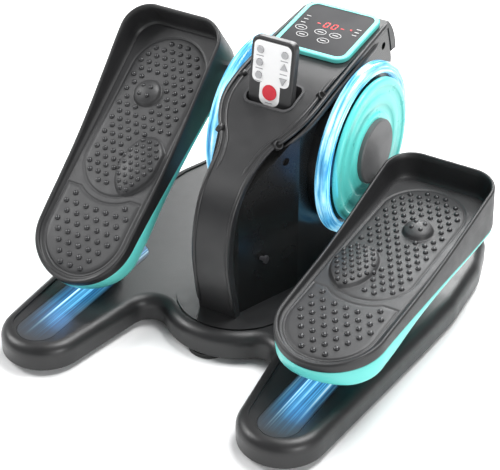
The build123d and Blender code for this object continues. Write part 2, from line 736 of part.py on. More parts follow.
SCREEN_WIDTH = PANEL_WIDTH - 2 * BEZEL_RIM
SCREEN_LENGTH = PANEL_LENGTH - 2 * BEZEL_RIM
SCREEN_CORNER = PANEL_CORNER - BEZEL_RIM
LEDGE = 2.0
with BuildPart() as display_bezel:
    with BuildSketch(panel_plane(-BEZEL_THICK)):
        RectangleRounded(PANEL_WIDTH, PANEL_LENGTH, PANEL_CORNER)
    extrude(amount=BEZEL_THICK)
    chamfer(display_bezel.faces().sort_by(Axis.Z)[-1].edges(), 1.0)
    with BuildSketch(panel_plane(-SCREEN_SINK - SCREEN_THICK)):
        RectangleRounded(SCREEN_WIDTH, SCREEN_LENGTH, SCREEN_CORNER)
    extrude(amount=BEZEL_THICK, mode=Mode.SUBTRACT)
    with BuildSketch(panel_plane(-BEZEL_THICK)):
        RectangleRounded(SCREEN_WIDTH - 2 * LEDGE, SCREEN_LENGTH - 2 * LEDGE, SCREEN_CORNER)
    extrude(amount=BEZEL_THICK, mode=Mode.SUBTRACT)
save(display_bezel.part, "display_bezel")

with BuildPart() as display_screen:
    with BuildSketch(panel_plane(-SCREEN_SINK - SCREEN_THICK)):
        RectangleRounded(SCREEN_WIDTH, SCREEN_LENGTH, SCREEN_CORNER)
    extrude(amount=SCREEN_THICK)
save(display_screen.part, "display_screen")

with BuildPart() as display_board:
    with BuildSketch(panel_plane(-SCREEN_SINK - SCREEN_THICK)):
        RectangleRounded(
            SCREEN_WIDTH - 4 * LEDGE, SCREEN_LENGTH - 4 * LEDGE, SCREEN_CORNER - LEDGE
        )
    extrude(amount=-1.6)
save(display_board.part, "display_board")

# ------------------------------------------------------------------------ remote control
KEYS = {
    "key_a": (-KEY_X, KEY_ROWS[0]), "key_b": (-KEY_X, KEY_ROWS[1]),
    "key_c": (-KEY_X, KEY_ROWS[2]), "key_d": (KEY_X, KEY_ROWS[0]),
}
ARROWS = {"key_up": (KEY_ROWS[1], 90), "key_down": (KEY_ROWS[2], -90)}
ARROW_R = 5.0
FACE_PLATE_THICK = 1.0
FACE_PLATE_EDGE = 4.0
FACE_PLATE_LOW = STOP_ROW + 9      # lower edge of its wide part
NECK_WIDTH = 25.0
NECK_LENGTH = 30.0


def key_outline(key, grow):
    """Outline of one key in the remote's plane, grown outward."""
    with BuildSketch() as outline:
        if key in KEYS:
            with Locations(KEYS[key]):
                Circle(KEY_R + grow)
        elif key in ARROWS:
            row, turn = ARROWS[key]
            with Locations(Location((KEY_X, row, 0), (0, 0, turn))):
                RegularPolygon(ARROW_R + 2 * grow, 3)
        else:
            with Locations((0, STOP_ROW)):
                Circle(STOP_R + grow)
    return outline.sketch


def plate_outline():
    """Outline of the light face plate: a wide part with a neck around the stop key."""
    top = REMOTE_LENGTH - FACE_PLATE_EDGE
    with BuildSketch() as outline:
        with Locations((0, (FACE_PLATE_LOW + top) / 2)):
            RectangleRounded(REMOTE_WIDTH - 2 * FACE_PLATE_EDGE, top - FACE_PLATE_LOW, 7)
        with Locations((0, STOP_ROW)):
            RectangleRounded(NECK_WIDTH, NECK_LENGTH, 9)
    return outline.sketch


ALL_KEYS = [*KEYS, *ARROWS, "key_stop"]
FACE = REMOTE_THICK / 2
OUTWARD = Axis(remote_plane().origin, remote_plane().z_dir)

with BuildPart() as remote_back:
    with BuildSketch(remote_plane(REMOTE_LENGTH / 2, -FACE)):
        RectangleRounded(REMOTE_WIDTH, REMOTE_LENGTH, REMOTE_CORNER)
    extrude(amount=FACE)
    fillet(remote_back.faces().sort_by(OUTWARD)[0].edges(), REMOTE_ROUND)
    with BuildSketch(remote_plane(REMOTE_LENGTH / 2, 0)):
        RectangleRounded(REMOTE_WIDTH - 6, REMOTE_LENGTH - 6, REMOTE_CORNER - 3)
    extrude(amount=-(FACE - 2), mode=Mode.SUBTRACT)
save(remote_back.part, "remote_back")

with BuildPart() as remote_front:
    with BuildSketch(remote_plane(REMOTE_LENGTH / 2, 0)):
        RectangleRounded(REMOTE_WIDTH, REMOTE_LENGTH, REMOTE_CORNER)
    extrude(amount=FACE)
    fillet(remote_front.faces().sort_by(OUTWARD)[-1].edges(), REMOTE_ROUND)
    with BuildSketch(remote_plane(0, FACE - FACE_PLATE_THICK)):
        add(plate_outline())
    extrude(amount=FACE, mode=Mode.SUBTRACT)
    for key in ALL_KEYS:
        with BuildSketch(remote_plane(0, FACE - KEY_WELL)):
            add(key_outline(key, KEY_GAP))
        extrude(amount=FACE, mode=Mode.SUBTRACT)
save(remote_front.part, "remote_front")

with BuildPart() as remote_plate:
    with BuildSketch(remote_plane(0, FACE - FACE_PLATE_THICK)):
        add(plate_outline())
        for key in ALL_KEYS:
            add(key_outline(key, KEY_GAP), mode=Mode.SUBTRACT)
    extrude(amount=FACE_PLATE_THICK)
save(remote_plate.part, "remote_plate")

for key in ALL_KEYS:
    with BuildPart() as key_cap:
        with BuildSketch(remote_plane(0, FACE - KEY_WELL + KEY_TRAVEL)):
            add(key_outline(key, 0))
        extrude(amount=KEY_WELL - KEY_TRAVEL + KEY_RISE)
        fillet(key_cap.faces().sort_by(OUTWARD)[-1].edges(), 0.5)
    save(key_cap.part, f"remote_{key}")

# -------------------------------------------------------------------------------- pedals
# Side view of a pedal as (u, w) points: the rim's top edge, the line where the dark tray
# meets the coloured pan, the pan's underside, and the top of the foot pad.
RIM_LINE = [(-40, -6), (-14, -4), (15, 2), (50, 5), (100, 7), (140, 9), (185, 14),
            (235, 22), (285, 30), (322, 33), (350, 33)]
SPLIT_LINE = [(-40, -14), (60, -11), (120, -13), (180, -16), (240, -20), (350, -22)]
PAN_FLOOR = 4.0
UNDER_FLAT = ROLLER_R + FORK_LAP + 2        # half the flat that the fork's base lies on
UNDER_W = FORK_BASE_W - FORK_BASE_THICK / 2 - PAN_FLOOR
UNDER_LINE = [(-40, -26), (-14, -31), (AXLE_U - UNDER_FLAT, UNDER_W), (AXLE_U + UNDER_FLAT, UNDER_W),
              (120, -31), (180, -27), (240, -28), (350, -31)]
PAD_LINE = [(-40, -9), (-14, -7), (15, -3), (45, -0.5), (80, 0), (150, 0), (250, 0), (350, 0)]
TRAY_FLOOR = 4.0
PAN_INSET = 3.0
FORK_R = 10.0
FAR = 80.0


def lowered(line, drop):
    return [(u, w - drop) for u, w in line]


def pad_plane(side, w):
    """Plane of the foot pad: x runs towards the toe, z up from the pad."""
    base = pedal_plane(side)
    return Plane(origin=base.origin + base.y_dir * w, x_dir=base.x_dir, z_dir=base.y_dir)


def sole(side, inset):
    """The pedal's outline from above, cut out as a tall column."""
    toe_v = PEDAL_WIDTH / 2 - TOE_CORNER_R
    with BuildPart() as column:
        with BuildSketch(pad_plane(side, -FAR)):
            with Locations((PEDAL_HEEL_U + HEEL_R, 0)):
                Circle(HEEL_R - inset)
            with Locations(*[(PEDAL_TOE_U - TOE_CORNER_R, v) for v in (-toe_v, toe_v)]):
                Circle(TOE_CORNER_R - inset)
            make_hull()
        extrude(amount=2 * FAR)
    return column.part


def layer(side, upper, lower):
    """Everything between two side-view lines, across the whole pedal."""
    with BuildPart() as slab:
        with BuildSketch(pedal_plane(side)):
            with BuildLine():
                top = Spline(*upper)
                bottom = Spline(*reversed(lower))
                Line(top @ 1, bottom @ 0)
                Line(bottom @ 1, top @ 0)
            make_face()
        extrude(amount=PEDAL_WIDTH, both=True)
    return slab.part


def cross_bar(side, spot, radius, from_x, to_x):
    """A round bar across the pedal at spot (u, w), between two distances from the middle."""
    with BuildPart() as bar:
        with BuildSketch(pedal_plane(side).offset(side * (from_x - PEDAL_X))):
            with Locations(spot):
                Circle(radius)
        extrude(amount=side * (to_x - from_x))
    return bar.part


PIN_SPOT = (PIN_U, PIN_W)
AXLE_SPOT = (AXLE_U, AXLE_W)
WALL_X = PEDAL_X - PEDAL_WIDTH / 2          # the pedal's inner side
PIN_START = CAP_X + 2 * GAP
BUSH_LENGTH = 12.0
BOSS_END = WALL_X + PIN_LENGTH
BOSS_WALL = 3.0            # wall of the boss around the bushes
BOSS_PROUD = 1.0           # the boss stands this proud of the inner side
BUSH_STARTS = (WALL_X + 2, BOSS_END - BUSH_LENGTH - 2)
ROLLER_INNER_X = TRACK_X - ROLLER_WIDTH / 2
ROLLER_OUTER_X = TRACK_X + ROLLER_WIDTH / 2
FORKS = [
    (ROLLER_INNER_X - GAP - FORK_THICK, ROLLER_INNER_X - GAP),
    (ROLLER_OUTER_X + GAP, ROLLER_OUTER_X + GAP + FORK_THICK),
]

for side in (-1, 1):
    name = side_name(side)
    with BuildPart() as tray:
        add(sole(side, 0))
        add(layer(side, RIM_LINE, SPLIT_LINE), mode=Mode.INTERSECT)
        add(sole(side, PEDAL_WALL) & layer(side, lowered(RIM_LINE, -FAR), lowered(PAD_LINE, PAD_THICK)),
            mode=Mode.SUBTRACT)
        add(sole(side, PEDAL_WALL)
            & layer(side, lowered(PAD_LINE, PAD_THICK + TRAY_FLOOR), lowered(SPLIT_LINE, FAR)),
            mode=Mode.SUBTRACT)
        add(cross_bar(side, PIN_SPOT, BUSH_R + BOSS_WALL, WALL_X - BOSS_PROUD, BOSS_END))
        add(cross_bar(side, PIN_SPOT, PIN_R, WALL_X - 5, BOSS_END), mode=Mode.SUBTRACT)
        for start in BUSH_STARTS:
            add(cross_bar(side, PIN_SPOT, BUSH_R, start, start + BUSH_LENGTH), mode=Mode.SUBTRACT)
    save(tray.part, f"pedal_tray_{name}")

    with BuildPart() as pan:
        add(sole(side, PAN_INSET))
        add(layer(side, SPLIT_LINE, UNDER_LINE), mode=Mode.INTERSECT)
        add(sole(side, PAN_INSET + PEDAL_WALL)
            & layer(side, lowered(SPLIT_LINE, -FAR), lowered(UNDER_LINE, -PAN_FLOOR)),
            mode=Mode.SUBTRACT)
        add(cross_bar(side, PIN_SPOT, BUSH_R + BOSS_WALL + GAP, WALL_X - 5, BOSS_END + 5),
            mode=Mode.SUBTRACT)
        with BuildSketch(pedal_plane(side).offset(side * (FORKS[0][0] - GAP - PEDAL_X))):
            with Locations((AXLE_U, FORK_BASE_W)):
                Rectangle(2 * (ROLLER_R + 2), 30)
        extrude(amount=side * (FORKS[1][1] - FORKS[0][0] + 2 * GAP), mode=Mode.SUBTRACT)
    save(pan.part, f"pedal_pan_{name}")

    with BuildPart() as pad:
        add(sole(side, PEDAL_WALL + GAP / 2))
        add(layer(side, PAD_LINE, lowered(PAD_LINE, PAD_THICK)), mode=Mode.INTERSECT)
    save(pad.part, f"foot_pad_{name}")

    with BuildPart() as fork:
        for from_x, to_x in FORKS:
            with BuildSketch(pedal_plane(side).offset(side * (from_x - PEDAL_X))):
                with Locations(AXLE_SPOT):
                    Circle(FORK_R)
                with Locations((AXLE_U, FORK_BASE_W)):
                    Rectangle(2.6 * FORK_R, FORK_BASE_THICK)
                make_hull()
                with Locations(AXLE_SPOT):
                    Circle(AXLE_R + FIT, mode=Mode.SUBTRACT)
            extrude(amount=side * (to_x - from_x))
        base_from = FORKS[0][0] - FORK_THICK
        base_to = FORKS[1][1] + FORK_THICK
        with BuildSketch(pedal_plane(side).offset(side * (base_from - PEDAL_X))):
            with Locations((AXLE_U, FORK_BASE_W)):
                Rectangle(2 * (ROLLER_R + FORK_LAP), FORK_BASE_THICK)
        extrude(amount=side * (base_to - base_from))
    save(fork.part, f"roller_fork_{name}")

    with BuildPart() as pin:
        add(cross_bar(side, PIN_SPOT, PIN_R, PIN_START, BOSS_END))
    save(pin.part, f"pedal_pin_{name}")

    with BuildPart() as bushes:
        for start in BUSH_STARTS:
            add(cross_bar(side, PIN_SPOT, BUSH_R, start, start + BUSH_LENGTH))
        add(cross_bar(side, PIN_SPOT, PIN_R, WALL_X, BOSS_END), mode=Mode.SUBTRACT)
    save(bushes.part, f"pin_bushes_{name}")

    with BuildPart() as axle:
        add(cross_bar(side, AXLE_SPOT, AXLE_R, FORKS[0][0] - GAP, FORKS[1][1] + GAP))
        for from_x, to_x in ((FORKS[0][0] - GAP - 2, FORKS[0][0] - GAP),
                             (FORKS[1][1] + GAP, FORKS[1][1] + GAP + 2)):
            add(cross_bar(side, AXLE_SPOT, AXLE_R + 2.5, from_x, to_x))
    save(axle.part, f"roller_axle_{name}")

    with BuildPart() as roller:
        add(cross_bar(side, AXLE_SPOT, ROLLER_R - GAP, ROLLER_INNER_X, ROLLER_OUTER_X))
        fillet(roller.edges().filter_by(GeomType.CIRCLE), 2.5)
        add(cross_bar(side, AXLE_SPOT, AXLE_R + FIT, ROLLER_INNER_X, ROLLER_OUTER_X),
            mode=Mode.SUBTRACT)
    save(roller.part, f"roller_{name}")
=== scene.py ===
"""Pedal exerciser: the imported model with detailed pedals, materials, lights and camera."""
import json
from math import asin, atan2, cos, hypot, pi, radians, sin

import bmesh
import bpy
from mathutils import Matrix, Vector
import numpy as np


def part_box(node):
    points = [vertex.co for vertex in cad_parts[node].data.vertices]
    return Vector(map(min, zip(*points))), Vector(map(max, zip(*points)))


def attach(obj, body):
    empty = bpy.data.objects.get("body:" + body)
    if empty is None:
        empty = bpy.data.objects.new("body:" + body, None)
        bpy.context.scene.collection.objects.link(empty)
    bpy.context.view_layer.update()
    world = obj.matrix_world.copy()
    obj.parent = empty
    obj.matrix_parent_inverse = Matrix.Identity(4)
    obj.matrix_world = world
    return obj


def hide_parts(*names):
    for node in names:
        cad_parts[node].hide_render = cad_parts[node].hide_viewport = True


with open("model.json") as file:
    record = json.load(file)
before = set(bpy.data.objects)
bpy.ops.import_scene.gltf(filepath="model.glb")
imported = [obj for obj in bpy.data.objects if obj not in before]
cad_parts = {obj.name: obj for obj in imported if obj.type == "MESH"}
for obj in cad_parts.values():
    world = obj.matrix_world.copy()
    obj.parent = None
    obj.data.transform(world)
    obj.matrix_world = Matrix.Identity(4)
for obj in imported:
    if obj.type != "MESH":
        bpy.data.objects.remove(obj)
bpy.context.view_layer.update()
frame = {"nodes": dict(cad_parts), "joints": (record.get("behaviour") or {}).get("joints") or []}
MM = 0.001                  # metres in a millimetre
SIDES = ((-1, "left"), (1, "right"))
TRACK_LOW, TRACK_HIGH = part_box("track_left")
TRACK_X = -(TRACK_LOW[0] + TRACK_HIGH[0]) / 2
TRACK_HALF = (TRACK_HIGH[0] - TRACK_LOW[0]) / 2

# ------------------------------------------------------------------ camera, floor, lights
CAMERA_PLACE = Vector((0.7598, -1.2559, 1.0615))
CAMERA_AIM = Vector((-0.0277, 0.03756, 0.0642))
LENS = 113.05

camera = bpy.data.objects.new("camera", bpy.data.cameras.new("camera"))
camera.data.lens = LENS
camera.data.sensor_width = 36.0
camera.location = CAMERA_PLACE
camera.rotation_euler = (CAMERA_AIM - CAMERA_PLACE).to_track_quat("-Z", "Y").to_euler()
bpy.context.collection.objects.link(camera)
bpy.context.scene.camera = camera
bpy.context.scene.view_settings.view_transform = "Standard"


def area_light(name, place, aim, size, power, colour=(1, 1, 1)):
    """A square soft light."""
    data = bpy.data.lights.new(name, "AREA")
    data.size = size
    data.energy = power
    data.color = colour
    lamp = bpy.data.objects.new(name, data)
    lamp.location = place
    lamp.rotation_euler = (Vector(aim) - Vector(place)).to_track_quat("-Z", "Y").to_euler()
    bpy.context.collection.objects.link(lamp)


area_light("key_light", (-1.8, -0.6, 1.5), (0, 0, 0.1), 0.9, 36)
area_light("side_light", (1.7, -0.9, 0.7), (0, 0, 0.1), 0.6, 14)
area_light("back_light", (-0.5, 1.9, 1.3), (0, 0, 0.15), 1.3, 60)
area_light("top_light", (0.5, 0.6, 2.2), (0, 0, 0.1), 1.1, 60)
BLUE_GLOW = (0.10, 0.42, 1.0)
for glow_x in (-TRACK_X, TRACK_X):
    area_light("track_glow", (glow_x, -0.165, 0.048), (glow_x, -0.175, 0), 0.024, 0.008, BLUE_GLOW)
area_light("ring_glow", (0.085, 0.035, 0.175), (0.03, 0.0, 0.17), 0.05, 0.008, BLUE_GLOW)

world = bpy.data.worlds.new("studio")
bpy.context.scene.world = world
world.use_nodes = True
world.node_tree.nodes["Background"].inputs["Color"].default_value = (0.96, 0.98, 1.0, 1)
world.node_tree.nodes["Background"].inputs["Strength"].default_value = 0.36


# ------------------------------------------------------------------------------ materials
class Look:
    """A node material built step by step."""

    def __init__(self, name, colour, rough=0.45, metal=0.0, spec=0.5):
        self.name = name
        self.material = bpy.data.materials.new(name)
        self.material.use_nodes = True
        self.nodes = self.material.node_tree.nodes
        self.links = self.material.node_tree.links
        self.shader = self.nodes["Principled BSDF"]
        self.colour = (*colour, 1)
        self.shader.inputs["Base Color"].default_value = self.colour
        self.shader.inputs["Roughness"].default_value = rough
        self.shader.inputs["Metallic"].default_value = metal
        self.shader.inputs["Specular IOR Level"].default_value = spec
        self.place = self.nodes.new("ShaderNodeTexCoord").outputs["Object"]

    def node(self, kind, **inputs):
        """A node whose named sockets are linked, or set to a plain value."""
        made = self.nodes.new(kind)
        for key, value in inputs.items():
            socket = made.inputs[key]
            if hasattr(value, "is_output"):
                self.links.new(value, socket)
            else:
                socket.default_value = value
        return made

    def stretched(self, scale):
        """The object's own coordinates, scaled along each axis."""
        return self.node("ShaderNodeMapping", Vector=self.place, Scale=scale).outputs["Vector"]

    def noise(self, scale, detail=3.0, stretch=(1, 1, 1)):
        """A noise value over the object's own coordinates."""
        made = self.node("ShaderNodeTexNoise", Vector=self.stretched(stretch), Scale=scale,
                         Detail=detail)
        return made.outputs["Fac"]

    def ramp(self, factor, stops):
        """A colour that runs through (position, colour) stops."""
        made = self.node("ShaderNodeValToRGB", Fac=factor)
        elements = made.color_ramp.elements
        while len(elements) < len(stops):
            elements.new(0.5)
        for element, (position, colour) in zip(elements, stops):
            element.position = position
            element.color = (*colour, 1)
        return made.outputs["Color"]

    def math(self, operation, a, b=0.0):
        """A Math node of two values or sockets."""
        made = self.nodes.new("ShaderNodeMath")
        made.operation = operation
        for socket, value in zip(made.inputs, (a, b)):
            if hasattr(value, "is_output"):
                self.links.new(value, socket)
            else:
                socket.default_value = value
        return made.outputs["Value"]

    def tint(self, scale, amount, stretch=(1, 1, 1)):
        """Slight variation of the base colour."""
        dark = tuple(c * (1 - amount) for c in self.colour[:3])
        light = tuple(min(1, c * (1 + amount)) for c in self.colour[:3])
        colour = self.ramp(self.noise(scale, stretch=stretch), ((0.3, dark), (0.7, light)))
        self.links.new(colour, self.shader.inputs["Base Color"])
        return self

    def rub(self, scale, low, high):
        """Roughness that varies between two values."""
        spread = self.ramp(self.noise(scale, 5.0), ((0.3, (low,) * 3), (0.7, (high,) * 3)))
        self.links.new(spread, self.shader.inputs["Roughness"])
        return self

    def grain(self, scale, depth, stretch=(1, 1, 1), detail=2.0):
        """A fine moulded or brushed surface, depth in metres."""
        bump = self.node("ShaderNodeBump", Height=self.noise(scale, detail, stretch),
                         Distance=depth, Strength=1.0)
        self.links.new(bump.outputs["Normal"], self.shader.inputs["Normal"])
        return self

    def glow(self, colour, strength):
        """Light given off, of one colour or of a colour socket."""
        if hasattr(colour, "is_output"):
            self.links.new(colour, self.shader.inputs["Emission Color"])
        else:
            self.shader.inputs["Emission Color"].default_value = (*colour, 1)
        self.shader.inputs["Emission Strength"].default_value = strength
        return self


TURQUOISE = (0.125, 0.62, 0.57)
case_look = Look("case_plastic", (0.016, 0.016, 0.0168)).tint(9, 0.10).rub(60, 0.36, 0.46)
case_look.grain(2600, 0.00005)
# The casing's side shells are glossier than the strap, which is their own finish. They are also
# coloured darker than the strap: that is painted shade on the side walls.
gloss_and_shade_look = Look("case_side_plastic", (0.010, 0.010, 0.010)).tint(9, 0.12).rub(30, 0.20, 0.30)
gloss_and_shade_look.grain(2200, 0.00003)
base_look = Look("base_plastic", (0.012, 0.012, 0.0125)).tint(7, 0.12).rub(60, 0.34, 0.44)
base_look.grain(2600, 0.00005)
tray_look = Look("tray_plastic", (0.014, 0.014, 0.0147)).tint(12, 0.10).rub(60, 0.40, 0.50)
tray_look.grain(2600, 0.00006)
pad_look = Look("pad_rubber", (0.031, 0.031, 0.0322)).tint(16, 0.10).rub(80, 0.44, 0.56)
pad_look.grain(1800, 0.00010)
stud_look = Look("stud_rubber", (0.030, 0.030, 0.032)).tint(40, 0.10).rub(90, 0.24, 0.32)
stud_look.grain(1800, 0.00005)
pan_look = Look("turquoise_plastic", TURQUOISE).tint(8, 0.06).rub(50, 0.28, 0.36)
pan_look.grain(2400, 0.00004)
# The crank disc is plain plastic and gives no light: its faint turquoise glow is painted light
# that makes it look brighter.
disc_look = Look("disc_plastic", (0.11, 0.62, 0.57)).tint(10, 0.05).rub(50, 0.26, 0.34)
disc_look.grain(2400, 0.00003).glow((0.11, 0.64, 0.60), 0.10)
cap_look = Look("cap_plastic", (0.095, 0.095, 0.097)).tint(14, 0.08).rub(60, 0.42, 0.52)
cap_look.grain(2400, 0.00005)
rubber_look = Look("foot_rubber", (0.022, 0.022, 0.022), spec=0.3).tint(30, 0.2).rub(70, 0.7, 0.85)
rubber_look.grain(1500, 0.0001)
steel_look = Look("machined_steel", (0.55, 0.55, 0.57), metal=1.0).tint(20, 0.06)
steel_look.rub(120, 0.24, 0.36).grain(900, 0.00003, stretch=(1, 8, 8))
screw_look = Look("black_screw_steel", (0.14, 0.14, 0.15), metal=1.0).tint(40, 0.1)
screw_look.rub(150, 0.35, 0.5).grain(1500, 0.00003)
bush_look = Look("bush_bronze", (0.55, 0.36, 0.16), metal=1.0).tint(40, 0.1)
bush_look.rub(150, 0.3, 0.45).grain(900, 0.00003)
roller_look = Look("roller_nylon", (0.10, 0.10, 0.105)).tint(30, 0.1).rub(80, 0.38, 0.5)
roller_look.grain(1400, 0.00005)
motor_look = Look("painted_can", (0.24, 0.25, 0.27), metal=0.3).tint(30, 0.08).rub(80, 0.35, 0.5)
motor_look.grain(1400, 0.00004)
board_look = Look("circuit_board", (0.02, 0.16, 0.06)).tint(220, 0.35).rub(200, 0.3, 0.6)
board_look.grain(500, 0.0001)
screen_look = Look("screen_gloss", (0.012, 0.012, 0.014), spec=0.12).tint(20, 0.2)
screen_look.rub(30, 0.34, 0.44).grain(1500, 0.000008)
remote_look = Look("remote_black", (0.020, 0.020, 0.021)).tint(30, 0.15).rub(80, 0.34, 0.46)
remote_look.grain(2400, 0.00005)
liner_look = Look("pocket_plastic", (0.050, 0.050, 0.052)).tint(30, 0.15).rub(80, 0.36, 0.46)
liner_look.grain(2400, 0.00005)
white_look = Look("remote_white", (0.86, 0.86, 0.86)).tint(30, 0.03).rub(80, 0.3, 0.4)
white_look.grain(2400, 0.00002)
key_look = Look("key_rubber", (0.42, 0.42, 0.43)).tint(90, 0.08).rub(120, 0.4, 0.55)
key_look.grain(2400, 0.00004)
stop_look = Look("stop_rubber", (0.62, 0.016, 0.035)).tint(90, 0.08).rub(120, 0.35, 0.5)
stop_look.grain(2400, 0.00004)
mark_look = Look("print_grey", (0.35, 0.35, 0.36)).tint(500, 0.2).rub(200, 0.4, 0.6)
mark_look.grain(3000, 0.00001)
# The white print on the display gives no light: its faint glow is painted light that keeps the key
# rings and labels bright.
line_look = Look("print_white", (0.58, 0.58, 0.58)).tint(500, 0.1).rub(200, 0.3, 0.5)
line_look.glow((0.7, 0.7, 0.7), 0.10).grain(3000, 0.00001)
digit_look = Look("digit_red", (0.6, 0.02, 0.02)).tint(900, 0.2).rub(200, 0.3, 0.5)
digit_look.glow((0.90, 0.01, 0.015), 0.75).grain(3000, 0.00001)
# Near-black, dull colour for the screw recesses' hollows: painted shade that stands for the shade
# inside deep holes.
hole_shade_look = Look("painted_hole_shade", (0.006, 0.006, 0.006), spec=0.1).tint(60, 0.3).rub(90, 0.7, 0.9)
hole_shade_look.grain(1500, 0.00002)

# The lit ring: bright streaks that run round the crank's axis.
CRANK = Vector(next(j["pos_m"] for j in frame["joints"] if j["name"] == "crank_turn"))
ring_look = Look("ring_light", (0.18, 0.50, 0.78), rough=0.12)
ring_look.shader.inputs["Transmission Weight"].default_value = 0.25


def polar(look):
    """A noise vector that runs quickly across the ring and slowly round it."""
    parts = look.node("ShaderNodeSeparateXYZ", Vector=look.place).outputs
    y = look.math("SUBTRACT", parts["Y"], CRANK.y)
    z = look.math("SUBTRACT", parts["Z"], CRANK.z)
    radius = look.math("SQRT", look.math("ADD", look.math("MULTIPLY", y, y),
                                         look.math("MULTIPLY", z, z)))
    across = look.math("ADD", look.math("MULTIPLY", radius, 55.0),
                       look.math("MULTIPLY", parts["X"], 40.0))
    joined = look.node("ShaderNodeCombineXYZ", X=across,
                       Y=look.math("MULTIPLY", look.math("DIVIDE", y, radius), 0.3),
                       Z=look.math("MULTIPLY", look.math("DIVIDE", z, radius), 0.3))
    return joined.outputs["Vector"]


ring_place = polar(ring_look)
streaks = ring_look.node("ShaderNodeTexNoise", Vector=ring_place, Scale=7.0, Detail=4.0)
ring_colour = ring_look.ramp(streaks.outputs["Fac"], (
    (0.30, (0.02, 0.15, 0.34)), (0.44, (0.08, 0.36, 0.60)), (0.56, (0.30, 0.68, 0.85)),
    (0.72, (0.80, 0.94, 0.98)),
))
ring_look.glow(ring_colour, 0.62)
ring_look.links.new(ring_colour, ring_look.shader.inputs["Base Color"])
ring_look.rub(60, 0.10, 0.18).grain(200, 0.0001)

# The lit tracks: streaks that run front to back and fade towards the front and the sides.
FADE_START, FADE_END = 0.004, 0.075       # from the track's front end
BRIGHT_HALF = 0.009                       # half width of the fully lit band
track_look = Look("track_light", (0.030, 0.032, 0.036), rough=0.36)
place_parts = track_look.node("ShaderNodeSeparateXYZ", Vector=track_look.place).outputs
along = track_look.node("ShaderNodeMapRange", Value=place_parts["Y"]).outputs["Result"]
along.node.inputs["From Min"].default_value = TRACK_LOW[1] + FADE_START
along.node.inputs["From Max"].default_value = TRACK_LOW[1] + FADE_END
fade = track_look.ramp(along, ((0.0, (0, 0, 0)), (0.35, (0.18,) * 3), (1.0, (1, 1, 1))))
side_x = track_look.math("ABSOLUTE", place_parts["X"])
off_middle = track_look.math("ABSOLUTE", track_look.math("SUBTRACT", side_x, TRACK_X))
band = track_look.node("ShaderNodeMapRange", Value=off_middle).outputs["Result"]
band.node.inputs["From Min"].default_value = TRACK_HALF
band.node.inputs["From Max"].default_value = BRIGHT_HALF
lines = track_look.noise(430, 2.0, (1, 0.006, 1))
line_colour = track_look.ramp(lines, (
    (0.34, (0.010, 0.07, 0.18)), (0.48, (0.03, 0.20, 0.42)), (0.60, (0.12, 0.46, 0.76)),
    (0.72, (0.62, 0.90, 1.0)),
))
lit = track_look.nodes.new("ShaderNodeMix")
lit.data_type = "RGBA"
lit.blend_type = "MULTIPLY"
lit.inputs["Factor"].default_value = 1.0
track_look.links.new(line_colour, lit.inputs["A"])
track_look.links.new(track_look.math("MULTIPLY", fade, band), lit.inputs["B"])
track_look.glow(lit.outputs["Result"], 1.5)
track_look.grain(700, 0.0001, stretch=(1, 0.02, 1))

NODE_LOOKS = {
    "base_cover": base_look, "casing_left": gloss_and_shade_look, "casing_right": gloss_and_shade_look,
    "strap_cover": case_look, "display_bezel": pan_look, "display_screen": screen_look,
    "display_board": board_look, "control_board": board_look, "pocket_liner": liner_look,
    "power_inlet": remote_look, "rubber_feet": rubber_look, "drive_belt": rubber_look,
    "base_plate": steel_look, "crankshaft": steel_look, "crank_pins": steel_look,
    "motor_bracket": steel_look, "foot_screws": screw_look, "frame_bolts": screw_look,
    "casing_screws": screw_look, "motor": motor_look, "driven_pulley": roller_look,
    "motor_pulley": roller_look, "remote_front": remote_look, "remote_back": remote_look,
    "remote_plate": white_look, "remote_key_stop": stop_look,
}
for key in ("a", "b", "c", "d", "up", "down"):
    NODE_LOOKS[f"remote_key_{key}"] = key_look
for _, hand in SIDES:
    NODE_LOOKS.update({
        f"track_{hand}": track_look, f"frame_upright_{hand}": steel_look,
        f"bearing_{hand}": steel_look, f"hub_cap_{hand}": cap_look,
        f"light_ring_{hand}": ring_look, f"roller_axle_{hand}": steel_look,
        f"roller_{hand}": roller_look, f"roller_fork_{hand}": roller_look,
        f"pedal_pin_{hand}": steel_look, f"pin_bushes_{hand}": bush_look,
    })
for node_name, look in NODE_LOOKS.items():
    solid = frame["nodes"][node_name]
    solid.data.materials.clear()
    solid.data.materials.append(look.material)


# -------------------------------------------------------------------------- mesh building
def piece(name, verts, faces, look, body, smooth=True):
    """A finished object from vertices in metres."""
    mesh = bpy.data.meshes.new(name)
    mesh.from_pydata([tuple(v) for v in verts], [], faces)
    mesh.materials.append(look.material)
    made = bpy.data.objects.new(name, mesh)
    bpy.context.collection.objects.link(made)
    shaped = bmesh.new()
    shaped.from_mesh(mesh)
    bmesh.ops.recalc_face_normals(shaped, faces=shaped.faces)
    shaped.to_mesh(mesh)
    shaped.free()
    if smooth:
        mesh.polygons.foreach_set("use_smooth", [True] * len(mesh.polygons))
    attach(made, body)
    return made


def ring_faces(rings, around, first=0, closed=False):
    """Quads that join each ring of vertices to the next, and the last to the first if closed."""
    faces = []
    for k in range(rings if closed else rings - 1):
        low, high = first + k * around, first + (k + 1) % rings * around
        for i in range(around):
            j = (i + 1) % around
            faces.append((low + i, low + j, high + j, high + i))
    return faces


def ring_end(k, around):
    """One face that closes ring k."""
    return tuple(range(k * around, (k + 1) * around))


